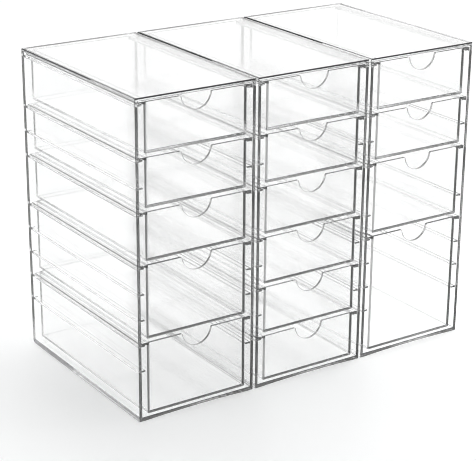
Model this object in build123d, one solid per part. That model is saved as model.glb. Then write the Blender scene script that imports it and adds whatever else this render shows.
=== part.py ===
from build123d import *
import os

# Three clear moulded drawer towers that stand side by side.
#
# Each tower is a one-piece casing, open at the front, with pairs of moulded rails on
# its two side walls. A drawer is an open tray whose out-turned top flanges hang on one
# pair of rails, so that it slides out towards the front. The rails lie on a regular
# vertical pitch, and a drawer is two, three or five pitches tall.
#
# Units are millimetres. +X is to the right, -Y is the front, +Z is up. The origin is on
# the table, under the middle of the row of towers.

# --- Casing -------------------------------------------------------------------
casing_width = 115.0
casing_depth = 195.0
side_wall = 2.8
top_wall = 2.8
back_wall = 2.6
base_wall = 2.6
foot_strip = 6.0  # flat strip under each side that the casing stands on
base_arch_rise = 1.0  # height of the shallow relief under the floor
low_back_radius = 4.0  # round of the lower back edge, outside
high_back_radius = 1.2  # round of the upper back edge, outside
casing_edge_bevel = 0.3  # bevel round the two side faces
cavity_radius = 1.0  # round inside the casing, along its back
tower_gap = 2.4  # free space between neighbouring towers

# --- Rails --------------------------------------------------------------------
slot_pitch = 22.9  # height from one rail position to the next
slot_count = 12  # rail positions from the top rail down to the floor
bare_slots = (1, 5, 11)  # positions without a rail
rail_thickness = 1.6
rail_tip_bevel = 0.4
rail_lead = 3.0  # lead-in bevel of the rail's front corner, seen from above
rail_front_setback = 1.5  # from the casing's front face to the rail's front end

# --- Drawers ------------------------------------------------------------------
drawer_wall = 2.2
drawer_floor = 2.2
drawer_corner_radius = 1.2  # upright outer edges
drawer_inside_radius = 0.6  # upright inner edges
drawer_floor_bevel = 1.2  # bevel round the outer edge of the floor
flange_reach = 5.3  # how far a flange stands out from the drawer's side
flange_thickness = 2.0
flange_edge_bevel = 0.7
flange_lead = 3.0  # lead-in bevel of the flange's rear corner, seen from above
notch_radius = 14.2  # finger notch in the top of the front wall
notch_rise = 0.7  # height of the notch's centre above the rim
notch_mouth_radius = 2.0  # round where the notch runs out into the rim

# --- Clearances ---------------------------------------------------------------
top_clearance = 1.0  # uppermost flange to the underside of the top wall
drawer_gap = 2.8  # a drawer's floor to the top of the drawer below
floor_clearance = 1.6  # lowest drawer to the casing's floor
back_clearance = 1.6  # a drawer's back to the casing's back wall
front_recess = 0.2  # a drawer's front behind the casing's front face
slide_clearance = 0.2  # flange above its rail
flange_end_clearance = 0.4  # flange end to the casing's side wall
rail_body_clearance = 1.2  # rail tip to the drawer's side

# --- Layout: drawer heights in pitches, from the top down -----------------------
drawer_slot_counts = {
    "left": (2, 2, 2, 3, 3),
    "middle": (2, 2, 2, 2, 2, 2),
    "right": (2, 2, 3, 5),
}

# --- Sizes that follow from the ones above --------------------------------------
floor_top = base_arch_rise + base_wall
stack_height = slot_count * slot_pitch - drawer_gap
rim_height = floor_top + floor_clearance + stack_height  # top of the uppermost flange
casing_height = rim_height + top_clearance + top_wall
front_y = -casing_depth / 2
cavity_width = casing_width - 2 * side_wall
cavity_back_y = casing_depth / 2 - back_wall
drawer_width = cavity_width - 2 * (flange_end_clearance + flange_reach)
drawer_depth = casing_depth - back_wall - back_clearance - front_recess
drawer_front_y = front_y + front_recess
drawer_centre_y = drawer_front_y + drawer_depth / 2
rail_reach = flange_end_clearance + flange_reach - rail_body_clearance
tower_spacing = casing_width + tower_gap

# A cutting tool runs this far past the face that it opens.
cut_margin = 5.0
# A piece that is fused to a wall starts this far inside it.
fuse_overlap = 1.0


def side_profile(depth, height, front, low, back_low_radius, back_high_radius):
    """Rectangle in the YZ plane with its two back corners rounded, as a face."""
    centre_y = front + depth / 2
    centre_z = low + height / 2
    outline = Plane.YZ * Pos(centre_y, centre_z) * Rectangle(depth, height)
    back = outline.vertices().group_by(Axis.Y)[-1].sort_by(Axis.Z)
    outline = fillet(back[0], back_low_radius)
    high = outline.vertices().group_by(Axis.Z)[-1].sort_by(Axis.Y)
    return fillet(high[-1], back_high_radius)


def casing_block():
    """Outer form of a casing, before it is hollowed."""
    profile = side_profile(
        casing_depth, casing_height, front_y, 0, low_back_radius, high_back_radius
    )
    block = extrude(profile, casing_width / 2, both=True)
    sides = block.faces().sort_by(Axis.X)
    return chamfer(sides[0].edges() + sides[-1].edges(), casing_edge_bevel)


def casing_cavity():
    """Space inside a casing, open at the front."""
    height = casing_height - top_wall - floor_top
    depth = cavity_back_y - front_y + cut_margin
    low_radius = max(low_back_radius - back_wall, cavity_radius)
    profile = side_profile(
        depth, height, front_y - cut_margin, floor_top, low_radius, cavity_radius
    )
    return extrude(profile, cavity_width / 2, both=True)


def base_relief():
    """Shallow arched relief under the floor, between the two foot strips."""
    half = casing_width / 2 - foot_strip
    arch = ThreePointArc((-half, 0), (0, base_arch_rise), (half, 0))
    face = make_face([arch, Line((half, 0), (-half, 0))])
    return extrude(Plane.XZ * face, casing_depth / 2 + cut_margin, both=True)


def corner_wedge(x, y, reach_x, reach_y, thickness):
    """Cutter that bevels the corner at x, y of a flat bar that hangs down from zero."""
    outline = Polyline(
        (x - reach_x, y - reach_y),
        (x + reach_x, y - reach_y),
        (x - reach_x, y + reach_y),
        close=True,
    )
    prism = extrude(make_face(outline), -(thickness + cut_margin))
    return prism + mirror(prism, Plane.XY)


def rail_bar():
    """One rail on the right-hand wall, its upper face at height zero."""
    start_y = front_y + rail_front_setback
    end_y = cavity_back_y + fuse_overlap
    wall_x = cavity_width / 2
    tip_x = wall_x - rail_reach
    breadth = rail_reach + fuse_overlap
    section = Pos(tip_x + breadth / 2, -rail_thickness / 2) * Rectangle(
        breadth, rail_thickness
    )
    section = chamfer(section.vertices().group_by(Axis.X)[0], rail_tip_bevel)
    bar = extrude(Plane.XZ.offset(-start_y) * section, -(end_y - start_y))
    return bar - corner_wedge(tip_x, start_y, rail_lead, rail_lead, rail_thickness)


def make_casing():
    """One casing: shell, rails and base relief in one piece."""
    shell = casing_block() - casing_cavity() - base_relief()
    right_rail = rail_bar()
    left_rail = mirror(right_rail, Plane.YZ)
    top_rail_z = rim_height - flange_thickness - slide_clearance
    rails = [
        Pos(0, 0, top_rail_z - slot * slot_pitch) * rail
        for slot in range(slot_count)
        if slot not in bare_slots
        for rail in (left_rail, right_rail)
    ]
    return shell + rails


def drawer_block(width, depth, height, corner_radius):
    """Block with rounded upright edges that hangs down from height zero."""
    block = extrude(Rectangle(width, depth), -height)
    return fillet(block.edges().filter_by(Axis.Z), corner_radius)


def drawer_tray(height):
    """Open tray with rounded corners and a bevelled floor, its rim at height zero."""
    outer = drawer_block(drawer_width, drawer_depth, height, drawer_corner_radius)
    outer = chamfer(outer.faces().sort_by(Axis.Z)[0].edges(), drawer_floor_bevel)
    inner = drawer_block(
        drawer_width - 2 * drawer_wall,
        drawer_depth - 2 * drawer_wall,
        height - drawer_floor,
        drawer_inside_radius,
    )
    return outer - inner


def drawer_flange():
    """Right-hand flange that hangs on a rail, its upper face at height zero."""
    breadth = flange_reach + drawer_wall / 2
    outer_x = drawer_width / 2 + flange_reach
    front = -drawer_depth / 2
    back = drawer_depth / 2 - drawer_corner_radius
    section = Pos(outer_x - breadth / 2, -flange_thickness / 2) * Rectangle(
        breadth, flange_thickness
    )
    section = chamfer(section.vertices().group_by(Axis.X)[-1], flange_edge_bevel)
    flange = extrude(Plane.XZ.offset(-front) * section, -(back - front))
    return flange - corner_wedge(
        outer_x, back, -flange_lead, -flange_lead, flange_thickness
    )


def finger_notch():
    """Cutter for the half-round notch in the front wall, mouth flared to the rim."""
    strip_height = cut_margin
    strip_width = 2 * (notch_radius + notch_mouth_radius + cut_margin)
    outline = Pos(0, notch_rise) * Circle(notch_radius)
    outline += Pos(0, strip_height / 2) * Rectangle(strip_width, strip_height)
    mouth = [
        vertex
        for vertex in outline.vertices()
        if abs(vertex.Y) < fuse_overlap and abs(vertex.X) < notch_radius + fuse_overlap
    ]
    outline = fillet(mouth, notch_mouth_radius)
    front_plane = Plane.XZ.offset(drawer_depth / 2)
    cutter = front_plane * outline
    through = drawer_wall + drawer_inside_radius
    return extrude(cutter, -through) + extrude(cutter, cut_margin)


def make_drawer(units):
    """One drawer of a given number of pitches, centred, its rim at height zero."""
    height = units * slot_pitch - drawer_gap
    right_flange = drawer_flange()
    left_flange = mirror(right_flange, Plane.YZ)
    return drawer_tray(height) + right_flange + left_flange - finger_notch()


def write_part(shape, node):
    """Write one sub-part as a STEP file under its node's name."""
    shape.label = node
    export_step(shape, os.path.join("parts", node + ".step"))


def main():
    """Build every tower and write its casing and drawers."""
    os.makedirs("parts", exist_ok=True)
    casing = make_casing()
    sizes = sorted({units for counts in drawer_slot_counts.values() for units in counts})
    drawers = {units: make_drawer(units) for units in sizes}
    middle = (len(drawer_slot_counts) - 1) / 2
    for index, (side, counts) in enumerate(drawer_slot_counts.items()):
        tower_x = (index - middle) * tower_spacing
        write_part(Pos(tower_x, 0, 0) * casing, side + "_casing")
        slot = 0
        for number, units in enumerate(counts, start=1):
            place = Pos(tower_x, drawer_centre_y, rim_height - slot * slot_pitch)
            write_part(place * drawers[units], f"{side}_drawer_{number}")
            slot += units


main()
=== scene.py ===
import logging
import math
from dataclasses import dataclass, field
from enum import Enum

import bmesh
import bpy
from mathutils import Matrix, Vector


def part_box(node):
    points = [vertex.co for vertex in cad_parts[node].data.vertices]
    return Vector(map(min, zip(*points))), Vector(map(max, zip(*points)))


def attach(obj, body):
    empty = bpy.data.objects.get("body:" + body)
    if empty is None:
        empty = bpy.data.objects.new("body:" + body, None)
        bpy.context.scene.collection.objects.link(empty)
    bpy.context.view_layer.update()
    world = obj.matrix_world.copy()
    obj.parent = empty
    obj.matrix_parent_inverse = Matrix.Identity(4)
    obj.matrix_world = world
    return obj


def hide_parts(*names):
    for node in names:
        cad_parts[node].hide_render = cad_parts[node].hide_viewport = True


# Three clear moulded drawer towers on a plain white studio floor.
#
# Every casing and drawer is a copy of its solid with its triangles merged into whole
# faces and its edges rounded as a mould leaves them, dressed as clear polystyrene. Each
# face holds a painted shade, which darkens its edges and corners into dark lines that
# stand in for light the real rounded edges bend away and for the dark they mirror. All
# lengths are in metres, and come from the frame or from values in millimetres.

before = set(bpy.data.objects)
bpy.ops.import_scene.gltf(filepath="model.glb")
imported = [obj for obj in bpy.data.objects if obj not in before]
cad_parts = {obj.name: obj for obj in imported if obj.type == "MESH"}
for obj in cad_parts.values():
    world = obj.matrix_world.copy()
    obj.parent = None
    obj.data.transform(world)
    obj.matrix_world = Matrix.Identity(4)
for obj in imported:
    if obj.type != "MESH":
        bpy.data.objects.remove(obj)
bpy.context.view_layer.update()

MM = 0.001
# The face attribute that holds each face's painted shade.
SHADE_ATTRIBUTE = "edge_shade"

# Sockets of the Mix node, which share their names, by place.
MIX_SHARE = 0
MIX_LEVEL_A = 2
MIX_LEVEL_B = 3
MIX_COLOUR_A = 6
MIX_COLOUR_B = 7
MIX_COLOUR_OUT = 2

# How much of a face's normal lies along an axis.
BARELY = 0.1
HALF = 0.5
NEARLY_ALL = 0.99

log = logging.getLogger("drawer_towers")


class RayKind(Enum):
    """Kinds of ray that a shader can tell apart, by the name of their socket."""

    CAMERA = "Is Camera Ray"
    GLOSSY = "Is Glossy Ray"
    TRANSMISSION = "Is Transmission Ray"
    SHADOW = "Is Shadow Ray"


class EdgeSet(Enum):
    """Groups of edges with painted shade of different strengths, as shares of the painted
    shade colour.
    """

    TOP = 1.0
    OUTLINE = 0.90
    FRONT = 0.90
    BACK = 0.16
    RAIL = 0.20
    FLOOR = 0.20
    CORNER = 0.55
    NOTCH = 0.35
    NOTCH_WALL = 0.20


def linear_colour(hex_code: str) -> tuple[float, float, float, float]:
    """Turn an sRGB hex colour to linear light.

    Args:
        hex_code: Six hexadecimal digits, such as "F2F4F5".

    Returns:
        Red, green and blue in linear light, and an alpha of 1.
    """
    channels = [int(hex_code[i:i + 2], 16) / 255 for i in (0, 2, 4)]
    linear = [c / 12.92 if c <= 0.04045 else ((c + 0.055) / 1.055) ** 2.4 for c in channels]
    return (linear[0], linear[1], linear[2], 1.0)


def add_node(
    tree: bpy.types.NodeTree,
    kind: str,
    settings: dict[str, object] | None = None,
    values: dict[str | int, object] | None = None,
    links: dict[str | int, bpy.types.NodeSocket] | None = None,
) -> bpy.types.Node:
    """Add a node with its settings, its sockets' values and its incoming links.

    Args:
        tree: The node tree that gets the node.
        kind: The node's type name.
        settings: Attributes of the node, by name.
        values: Constant values of input sockets, by name or index.
        links: Output sockets to join to input sockets, by name or index.

    Returns:
        The new node.
    """
    node = tree.nodes.new(kind)
    for name, value in (settings or {}).items():
        setattr(node, name, value)
    for key, value in (values or {}).items():
        node.inputs[key].default_value = value
    for key, source in (links or {}).items():
        tree.links.new(source, node.inputs[key])
    return node


def fresh_tree(owner: bpy.types.Material | bpy.types.World) -> bpy.types.NodeTree:
    """Empty the node tree of a material or world.

    Args:
        owner: The material or world.

    Returns:
        Its node tree, with no nodes.
    """
    owner.use_nodes = True
    owner.node_tree.nodes.clear()
    return owner.node_tree


@dataclass(frozen=True)
class ClearPolystyrene:
    """Clear general-purpose polystyrene from a polished mould.

    It lets nearly all light through. What the eye sees of it is its gloss, a trace of
    cool grey in its thickness, faint flow waves in its walls, and its edges. The thin dark
    lines along its edges and corners are painted shade, laid on by each face's shade, and
    stand in for light that their small rounds bend away and for the dark they mirror.
    """

    name: str
    body_hex: str = "FFFFFF"
    # Colour of the painted shade on edges and corners.
    painted_shade_hex: str = "0E0F10"
    depth_hex: str = "C9D2D4"
    shadow_hex: str = "FBFBFB"
    depth_density: float = 0.8
    refraction: float = 1.49
    face_roughness: float = 0.06
    edge_roughness: float = 0.12
    flow_wave_mm: float = 45.0
    flow_height_mm: float = 0.010

    def material(self) -> bpy.types.Material:
        """Build the material.

        Returns:
            A material with painted shade on its edges, as dark as the piece's edge shade says.
        """
        material = bpy.data.materials.new(self.name)
        tree = fresh_tree(material)
        shade = add_node(tree, "ShaderNodeAttribute", {"attribute_name": SHADE_ATTRIBUTE})
        # Painted shade: each face's shade mixes the clear body towards the painted shade
        # colour.
        painted_shade_colour = add_node(
            tree,
            "ShaderNodeMix",
            {"data_type": "RGBA"},
            {
                MIX_COLOUR_A: linear_colour(self.body_hex),
                MIX_COLOUR_B: linear_colour(self.painted_shade_hex),
            },
            {MIX_SHARE: shade.outputs["Fac"]},
        )
        roughness = add_node(
            tree,
            "ShaderNodeMapRange",
            values={"To Min": self.face_roughness, "To Max": self.edge_roughness},
            links={"Value": shade.outputs["Fac"]},
        )
        place = add_node(tree, "ShaderNodeTexCoord")
        waves = add_node(
            tree,
            "ShaderNodeTexNoise",
            values={"Scale": 1 / (self.flow_wave_mm * MM), "Detail": 1.0},
            links={"Vector": place.outputs["Object"]},
        )
        flow = add_node(
            tree,
            "ShaderNodeBump",
            values={"Strength": 1.0, "Distance": self.flow_height_mm * MM},
            links={"Height": waves.outputs["Fac"]},
        )
        # Where shade is painted on an edge, less light goes through, so the painted dark line
        # shows.
        clearness = add_node(
            tree,
            "ShaderNodeMath",
            {"operation": "SUBTRACT"},
            {0: 1.0},
            {1: shade.outputs["Fac"]},
        )
        plastic = add_node(
            tree,
            "ShaderNodeBsdfPrincipled",
            values={"IOR": self.refraction},
            links={
                "Base Color": painted_shade_colour.outputs[MIX_COLOUR_OUT],
                "Transmission Weight": clearness.outputs[0],
                "Roughness": roughness.outputs[0],
                "Normal": flow.outputs["Normal"],
            },
        )
        # Light reaches the floor through the walls, so they cast a pale shadow.
        lit_through = add_node(
            tree,
            "ShaderNodeBsdfTransparent",
            values={"Color": linear_colour(self.shadow_hex)},
        )
        ray = add_node(tree, "ShaderNodeLightPath")
        surface = add_node(
            tree,
            "ShaderNodeMixShader",
            links={
                0: ray.outputs[RayKind.SHADOW.value],
                1: plastic.outputs[0],
                2: lit_through.outputs[0],
            },
        )
        depth = add_node(
            tree,
            "ShaderNodeVolumeAbsorption",
            values={
                "Color": linear_colour(self.depth_hex),
                "Density": self.depth_density,
            },
        )
        add_node(
            tree,
            "ShaderNodeOutputMaterial",
            links={"Surface": surface.outputs[0], "Volume": depth.outputs[0]},
        )
        return material


@dataclass
class ClearMoulding:
    """One clear moulded piece, which stands for one solid of the frame."""

    node: str
    body: str
    slot: str
    material: bpy.types.Material
    edge_round_mm: float = 0.40
    round_segments: int = 2
    bevel_round_mm: float = 0.15
    merge_mm: float = 0.001
    flat_deg: float = 0.3
    sharp_deg: float = 50.0
    bevel_deg: float = 35.0
    bevel_width_mm: float = 0.6
    long_edge_share: float = 0.2
    low: Vector = field(init=False)
    high: Vector = field(init=False)

    def __post_init__(self) -> None:
        """Read the lowest and highest corner of the solid from the frame."""
        self.low, self.high = (Vector(corner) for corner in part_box(self.node))

    def edge_share(self, place: Vector) -> float:
        """Give the painted shade of an edge at a place, as a share of the full painted shade
        colour.
        """
        return EdgeSet.OUTLINE.value

    def wall_share(self, place: Vector, normal: Vector) -> float:
        """Give the painted shade of a wall, at a place and with its normal, in the same way.
        """
        return 0.0

    def merge_faces(self, mesh: bmesh.types.BMesh) -> None:
        """Merge the loose triangles of a solid into whole flat faces.

        Args:
            mesh: The mesh, which is changed.
        """
        bmesh.ops.remove_doubles(mesh, verts=mesh.verts, dist=self.merge_mm * MM)
        bmesh.ops.dissolve_limit(
            mesh,
            angle_limit=math.radians(self.flat_deg),
            verts=mesh.verts,
            edges=mesh.edges,
        )

    def is_edge_bevel(self, face: bmesh.types.BMFace) -> bool:
        """Tell a narrow bevel, which the eye sees as an edge, from a wall or a round.

        Args:
            face: A face of the solid.

        Returns:
            True for a face that is narrow and turns sharply from both its neighbours.
        """
        perimeter = sum(edge.calc_length() for edge in face.edges)
        width = 2 * face.calc_area() / perimeter
        if width > self.bevel_width_mm * MM:
            return False
        long_enough = perimeter * self.long_edge_share
        turn = math.radians(self.bevel_deg)
        return all(
            edge.calc_face_angle(0) > turn
            for edge in face.edges
            if edge.calc_length() > long_enough
        )

    def round_edges(self, mesh: bmesh.types.BMesh) -> None:
        """Round every sharp edge, then the edges of narrow bevels, and note their painted
        shades.

        A round that runs past the end of its edge is drawn back into the solid's box.

        Args:
            mesh: The mesh, which is changed.
        """
        shade = mesh.faces.layers.float.new(SHADE_ATTRIBUTE)
        bevels = [face for face in mesh.faces if self.is_edge_bevel(face)]
        for face in mesh.faces:
            face[shade] = self.wall_share(face.calc_center_median(), face.normal)
        for face in bevels:
            face[shade] = self.edge_share(face.calc_center_median())
        sharp = [
            edge
            for edge in mesh.edges
            if len(edge.link_faces) == 2
            and math.degrees(edge.calc_face_angle(0)) > self.sharp_deg
        ]
        self.round_off(mesh, shade, sharp, self.edge_round_mm, self.round_segments)
        bevel_edges = dict.fromkeys(
            edge
            for face in bevels
            if face.is_valid
            for edge in face.edges
            if self.bevel_deg < math.degrees(edge.calc_face_angle(0)) < self.sharp_deg
        )
        self.round_off(mesh, shade, list(bevel_edges), self.bevel_round_mm, 1)
        for vertex in mesh.verts:
            inside = (sorted(trio)[1] for trio in zip(self.low, vertex.co, self.high))
            vertex.co = Vector(inside)
        for face in mesh.faces:
            face.smooth = False

    def round_off(
        self,
        mesh: bmesh.types.BMesh,
        shade: bmesh.types.BMLayerItem,
        edges: list[bmesh.types.BMEdge],
        reach_mm: float,
        segments: int,
    ) -> None:
        """Round some edges and note how much shade is painted on them.

        Args:
            mesh: The mesh, which is changed.
            shade: The layer that holds each face's painted shade.
            edges: The edges to round.
            reach_mm: How far the round reaches from the edge.
            segments: Number of faces across the round.
        """
        rounds = bmesh.ops.bevel(
            mesh,
            geom=edges,
            offset=reach_mm * MM,
            offset_type="OFFSET",
            segments=segments,
            profile=0.5,
            affect="EDGES",
            clamp_overlap=False,
            material=-1,
        )
        for face in rounds["faces"]:
            face[shade] = self.edge_share(face.calc_center_median())

    def build(self) -> bpy.types.Object:
        """Build the piece and put it in the place of its solid.

        Returns:
            The piece's object.
        """
        mesh = bmesh.new()
        mesh.from_mesh(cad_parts[self.node].data)
        self.merge_faces(mesh)
        self.round_edges(mesh)
        data = bpy.data.meshes.new(self.node + "_clear")
        mesh.to_mesh(data)
        mesh.free()
        data.materials.append(self.material)
        piece = bpy.data.objects.new(self.node + "_clear", data)
        bpy.context.collection.objects.link(piece)
        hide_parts(self.node)
        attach(piece, self.body)
        log.info("%s: %d faces, rides on %s", piece.name, len(data.polygons), self.body)
        return piece


@dataclass
class Casing(ClearMoulding):
    """A tower's casing: a shell that is open at the front, with rails on its walls."""

    back_mm: float = 3.5
    near_side_mm: float = 1.75
    on_side_mm: float = 0.875
    dark_strip_mm: float = 1.2
    dark_length_mm: float = 125.0

    def round_edges(self, mesh: bmesh.types.BMesh) -> None:
        """Round the edges, then paint shade on the top edges that face away from the light.

        Args:
            mesh: The mesh, which is changed.
        """
        super().round_edges(mesh)
        strip_low = self.high.z - self.dark_strip_mm * MM
        left_start = Vector((0, self.high.y - self.dark_length_mm * MM, strip_low))
        front_start = Vector((0, self.low.y - self.back_mm * MM, strip_low))
        # Painted shade: dark strips along the top of the left side and the front.
        self.darken_strip(mesh, Vector((-1, 0, 0)), left_start)
        self.darken_strip(mesh, Vector((0, -1, 0)), front_start)
        self.put_in_order(mesh)

    def darken_strip(self, mesh: bmesh.types.BMesh, facing: Vector, start: Vector) -> None:
        """Paint shade on the part of an outer side that lies above and behind a place.

        Args:
            mesh: The mesh, which is changed.
            facing: The side's outward direction.
            start: The place, of which only the y and z count.
        """
        for cut in (Vector((0, 0, 1)), Vector((0, 1, 0))):
            side = [face for face in mesh.faces if self.is_on_side(face, facing)]
            edges = dict.fromkeys(edge for face in side for edge in face.edges)
            corners = dict.fromkeys(corner for face in side for corner in face.verts)
            bmesh.ops.bisect_plane(
                mesh,
                geom=[*side, *edges, *corners],
                plane_co=start,
                plane_no=cut,
            )
        shade = mesh.faces.layers.float[SHADE_ATTRIBUTE]
        for face in mesh.faces:
            place = face.calc_center_median()
            if self.is_on_side(face, facing) and place.z > start.z and place.y > start.y:
                face[shade] = EdgeSet.TOP.value

    def put_in_order(self, mesh: bmesh.types.BMesh) -> None:
        """Sort the mesh by place, because a cut leaves it in no fixed order.

        Args:
            mesh: The mesh, which is changed.
        """
        corners = sorted(mesh.verts, key=lambda corner: tuple(corner.co))
        faces = sorted(mesh.faces, key=lambda face: tuple(face.calc_center_median()))
        for order in (corners, faces):
            for index, element in enumerate(order):
                element.index = index
        mesh.verts.sort()
        mesh.faces.sort()

    def is_on_side(self, face: bmesh.types.BMFace, facing: Vector) -> bool:
        """Tell whether a face belongs to the flat of the outer side that faces one way."""
        depth = (self.low - face.calc_center_median()).dot(facing)
        return face.normal.dot(facing) > NEARLY_ALL and depth < self.on_side_mm * MM

    def edge_share(self, place: Vector) -> float:
        """Give the painted shade of an edge of the casing.

        Args:
            place: The middle of the edge's round.

        Returns:
            A share of the full painted shade colour.
        """
        near = self.near_side_mm * MM
        if place.y > self.high.y - self.back_mm * MM:
            return EdgeSet.BACK.value
        if place.y < self.low.y + near:
            return EdgeSet.FRONT.value
        from_side = min(place.x - self.low.x, self.high.x - place.x)
        from_top = self.high.z - place.z
        if max(from_side, from_top) < near:
            return EdgeSet.TOP.value
        from_outside = min(from_side, from_top, place.z - self.low.z)
        return EdgeSet.OUTLINE.value if from_outside < near else EdgeSet.RAIL.value


@dataclass
class Drawer(ClearMoulding):
    """A drawer: an open tray with flanges and a finger notch in its front."""

    front_mm: float = 2.4
    floor_mm: float = 2.4
    notch_half_width_mm: float = 18.0

    def edge_share(self, place: Vector) -> float:
        """Give the painted shade of an edge of the drawer.

        Args:
            place: The middle of the edge's round.

        Returns:
            A share of the full painted shade colour.
        """
        if place.y > self.low.y + self.front_mm * MM:
            return EdgeSet.BACK.value
        return EdgeSet.NOTCH.value if self.is_at_notch(place) else EdgeSet.FRONT.value

    def wall_share(self, place: Vector, normal: Vector) -> float:
        """Give the painted shade of a wall: only the floor's bevel, corners and notch have
        one.

        Args:
            place: The middle of the wall.
            normal: The wall's normal.

        Returns:
            A share of the full painted shade colour.
        """
        slopes_down = HALF < -normal.z < NEARLY_ALL
        if slopes_down and place.z < self.low.z + self.floor_mm * MM:
            return EdgeSet.CORNER.value if -normal.y > HALF else EdgeSet.FLOOR.value
        if place.y > self.low.y + self.front_mm * MM:
            return 0.0
        is_upright = abs(normal.z) < BARELY
        if is_upright and BARELY < abs(normal.x) < NEARLY_ALL:
            return EdgeSet.CORNER.value
        is_across = abs(normal.y) < HALF
        below_rim = place.z < self.high.z - self.edge_round_mm * MM
        if is_across and below_rim and self.is_at_notch(place):
            return EdgeSet.NOTCH_WALL.value
        return 0.0

    def is_at_notch(self, place: Vector) -> bool:
        """Tell whether a place in the front wall is at the finger notch."""
        middle_x = (self.low.x + self.high.x) / 2
        near = abs(place.x - middle_x) < self.notch_half_width_mm * MM
        return near and place.z > (self.low.z + self.high.z) / 2


@dataclass
class Tower:
    """One tower: a casing and the drawers that hang in it."""

    side: str
    drawer_count: int
    casing_body: str = "casings"

    def build(self, material: bpy.types.Material) -> None:
        """Build the casing and every drawer.

        Args:
            material: The clear plastic of all of the tower's pieces.
        """
        Casing(self.side + "_casing", self.casing_body, "casing_clear", material).build()
        for number in range(1, self.drawer_count + 1):
            node = f"{self.side}_drawer_{number}"
            Drawer(node, node, "drawer_clear", material).build()


@dataclass(frozen=True)
class WhiteSweep:
    """Matt white paper sweep that the towers stand on.

    It is plain, hardly glossy, and pale enough to take only a soft shadow.
    """

    half_size: float = 6.0
    colour_hex: str = "F9FAFA"
    roughness: float = 0.35

    def build(self) -> None:
        """Lay the floor and dress it."""
        mesh = bmesh.new()
        bmesh.ops.create_grid(mesh, x_segments=1, y_segments=1, size=self.half_size)
        data = bpy.data.meshes.new("studio_floor")
        mesh.to_mesh(data)
        mesh.free()
        material = bpy.data.materials.new("white_paper_sweep")
        tree = fresh_tree(material)
        paper = add_node(
            tree,
            "ShaderNodeBsdfPrincipled",
            values={
                "Base Color": linear_colour(self.colour_hex),
                "Roughness": self.roughness,
            },
        )
        add_node(tree, "ShaderNodeOutputMaterial", links={"Surface": paper.outputs[0]})
        data.materials.append(material)
        floor = bpy.data.objects.new("studio_floor", data)
        bpy.context.collection.objects.link(floor)
        log.info("studio floor laid")


@dataclass(frozen=True)
class SoftStudio:
    """Soft studio light from one side, in a white room with a darker ceiling.

    Only what is seen, directly or through the plastic, is the white room. The floor is
    lit from the right and the back, so the shadow falls towards the front left.
    """

    light_side: tuple[float, float, float] = (0.82, 0.40, 0.41)
    light_level: float = 2.75
    fill_level: float = 0.15
    light_edge: float = 0.10
    light_core: float = 0.95
    wall_level: float = 1.08
    wall_hex: str = "FFFFFF"
    ceiling_hex: str = "A0A2A4"
    wall_top: float = 0.45
    ceiling_start: float = 0.80

    def build(self) -> None:
        """Build the world that lights the scene and is seen in the clear plastic."""
        world = bpy.data.worlds.new("soft_studio")
        bpy.context.scene.world = world
        tree = fresh_tree(world)
        direction = add_node(tree, "ShaderNodeTexCoord")
        height = add_node(
            tree,
            "ShaderNodeSeparateXYZ",
            links={"Vector": direction.outputs["Generated"]},
        )
        rise = add_node(
            tree,
            "ShaderNodeMapRange",
            {"interpolation_type": "SMOOTHSTEP"},
            {"From Min": self.wall_top, "From Max": self.ceiling_start},
            {"Value": height.outputs["Z"]},
        )
        seen = add_node(
            tree,
            "ShaderNodeMix",
            {"data_type": "RGBA"},
            {
                MIX_COLOUR_A: linear_colour(self.wall_hex),
                MIX_COLOUR_B: linear_colour(self.ceiling_hex),
            },
            {MIX_SHARE: rise.outputs[0]},
        )
        ray = add_node(tree, "ShaderNodeLightPath")
        bent = add_node(
            tree,
            "ShaderNodeMath",
            {"operation": "MAXIMUM"},
            links={
                0: ray.outputs[RayKind.GLOSSY.value],
                1: ray.outputs[RayKind.TRANSMISSION.value],
            },
        )
        looks = add_node(
            tree,
            "ShaderNodeMath",
            {"operation": "MAXIMUM"},
            links={0: bent.outputs[0], 1: ray.outputs[RayKind.CAMERA.value]},
        )
        facing = add_node(
            tree,
            "ShaderNodeVectorMath",
            {"operation": "DOT_PRODUCT"},
            {1: self.light_side},
            {0: direction.outputs["Generated"]},
        )
        level = add_node(
            tree,
            "ShaderNodeMapRange",
            {"interpolation_type": "SMOOTHSTEP"},
            {
                "From Min": self.light_edge,
                "From Max": self.light_core,
                "To Min": self.fill_level,
                "To Max": self.light_level,
            },
            {"Value": facing.outputs["Value"]},
        )
        strength = add_node(
            tree,
            "ShaderNodeMix",
            values={MIX_LEVEL_B: self.wall_level},
            links={MIX_SHARE: looks.outputs[0], MIX_LEVEL_A: level.outputs[0]},
        )
        colour = add_node(
            tree,
            "ShaderNodeMix",
            {"data_type": "RGBA"},
            {MIX_COLOUR_A: linear_colour(self.wall_hex)},
            {MIX_SHARE: looks.outputs[0], MIX_COLOUR_B: seen.outputs[MIX_COLOUR_OUT]},
        )
        light = add_node(
            tree,
            "ShaderNodeBackground",
            links={
                "Color": colour.outputs[MIX_COLOUR_OUT],
                "Strength": strength.outputs[0],
            },
        )
        add_node(tree, "ShaderNodeOutputWorld", links={"Surface": light.outputs[0]})
        log.info("studio light set")


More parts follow.
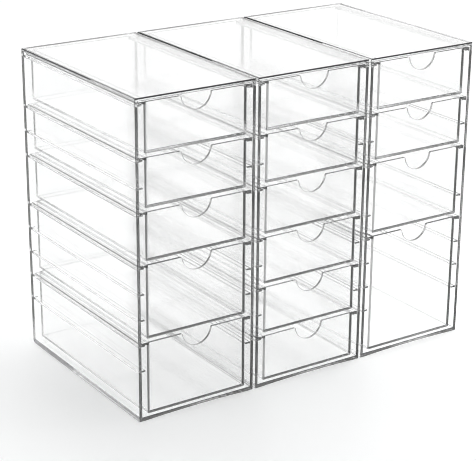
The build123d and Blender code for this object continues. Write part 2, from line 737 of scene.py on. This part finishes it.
@dataclass(frozen=True)
class StudioCamera:
    """The camera, at the photograph's viewing angle."""

    place_mm: tuple[float, float, float] = (-769.3, -1118.9, 610.1)
    azimuth: float = 34.136
    elevation: float = 20.365
    roll: float = 0.436
    lens_mm: float = 118.8
    sensor_mm: float = 36.0

    def build(self) -> None:
        """Place the camera and make it the scene's own."""
        data = bpy.data.cameras.new("photo_camera")
        data.sensor_width = self.sensor_mm
        data.lens = self.lens_mm
        camera = bpy.data.objects.new("photo_camera", data)
        bpy.context.collection.objects.link(camera)
        turn, tilt = math.radians(self.azimuth), math.radians(self.elevation)
        forward = Vector(
            (math.sin(turn) * math.cos(tilt), math.cos(turn) * math.cos(tilt), -math.sin(tilt))
        )
        level = Vector((math.cos(turn), -math.sin(turn), 0.0))
        right = Matrix.Rotation(-math.radians(self.roll), 3, forward) @ level
        up = right.cross(forward)
        pose = Matrix((right, up, -forward)).transposed().to_4x4()
        pose.translation = Vector(self.place_mm) * MM
        camera.matrix_world = pose
        bpy.context.scene.camera = camera
        log.info("camera placed")


@dataclass(frozen=True)
class LightPaths:
    """How far light is followed through the clear walls, which stand many deep.

    Light that runs along inside a wall is dropped after some inner reflections, as the
    haze of real plastic dims it, so the rims and edges look like dark lines.
    """

    bounces: int = 48
    inner_reflections: int = 19
    see_through: int = 64
    filter_px: float = 1.0

    def apply(self) -> None:
        """Set the limits for this scene."""
        cycles = bpy.context.scene.cycles
        cycles.max_bounces = self.bounces
        cycles.transmission_bounces = self.bounces
        cycles.glossy_bounces = self.inner_reflections
        cycles.transparent_max_bounces = self.see_through
        cycles.filter_width = self.filter_px
        bpy.context.scene.view_settings.view_transform = "Standard"


def main() -> None:
    """Build the towers and the studio, in order."""
    logging.basicConfig(level=logging.INFO, format="%(message)s")
    clear = ClearPolystyrene("moulded_clear_polystyrene").material()
    for tower in (Tower("left", 5), Tower("middle", 6), Tower("right", 4)):
        tower.build(clear)
    WhiteSweep().build()
    SoftStudio().build()
    StudioCamera().build()
    LightPaths().apply()


if __name__ == "__main__":
    main()
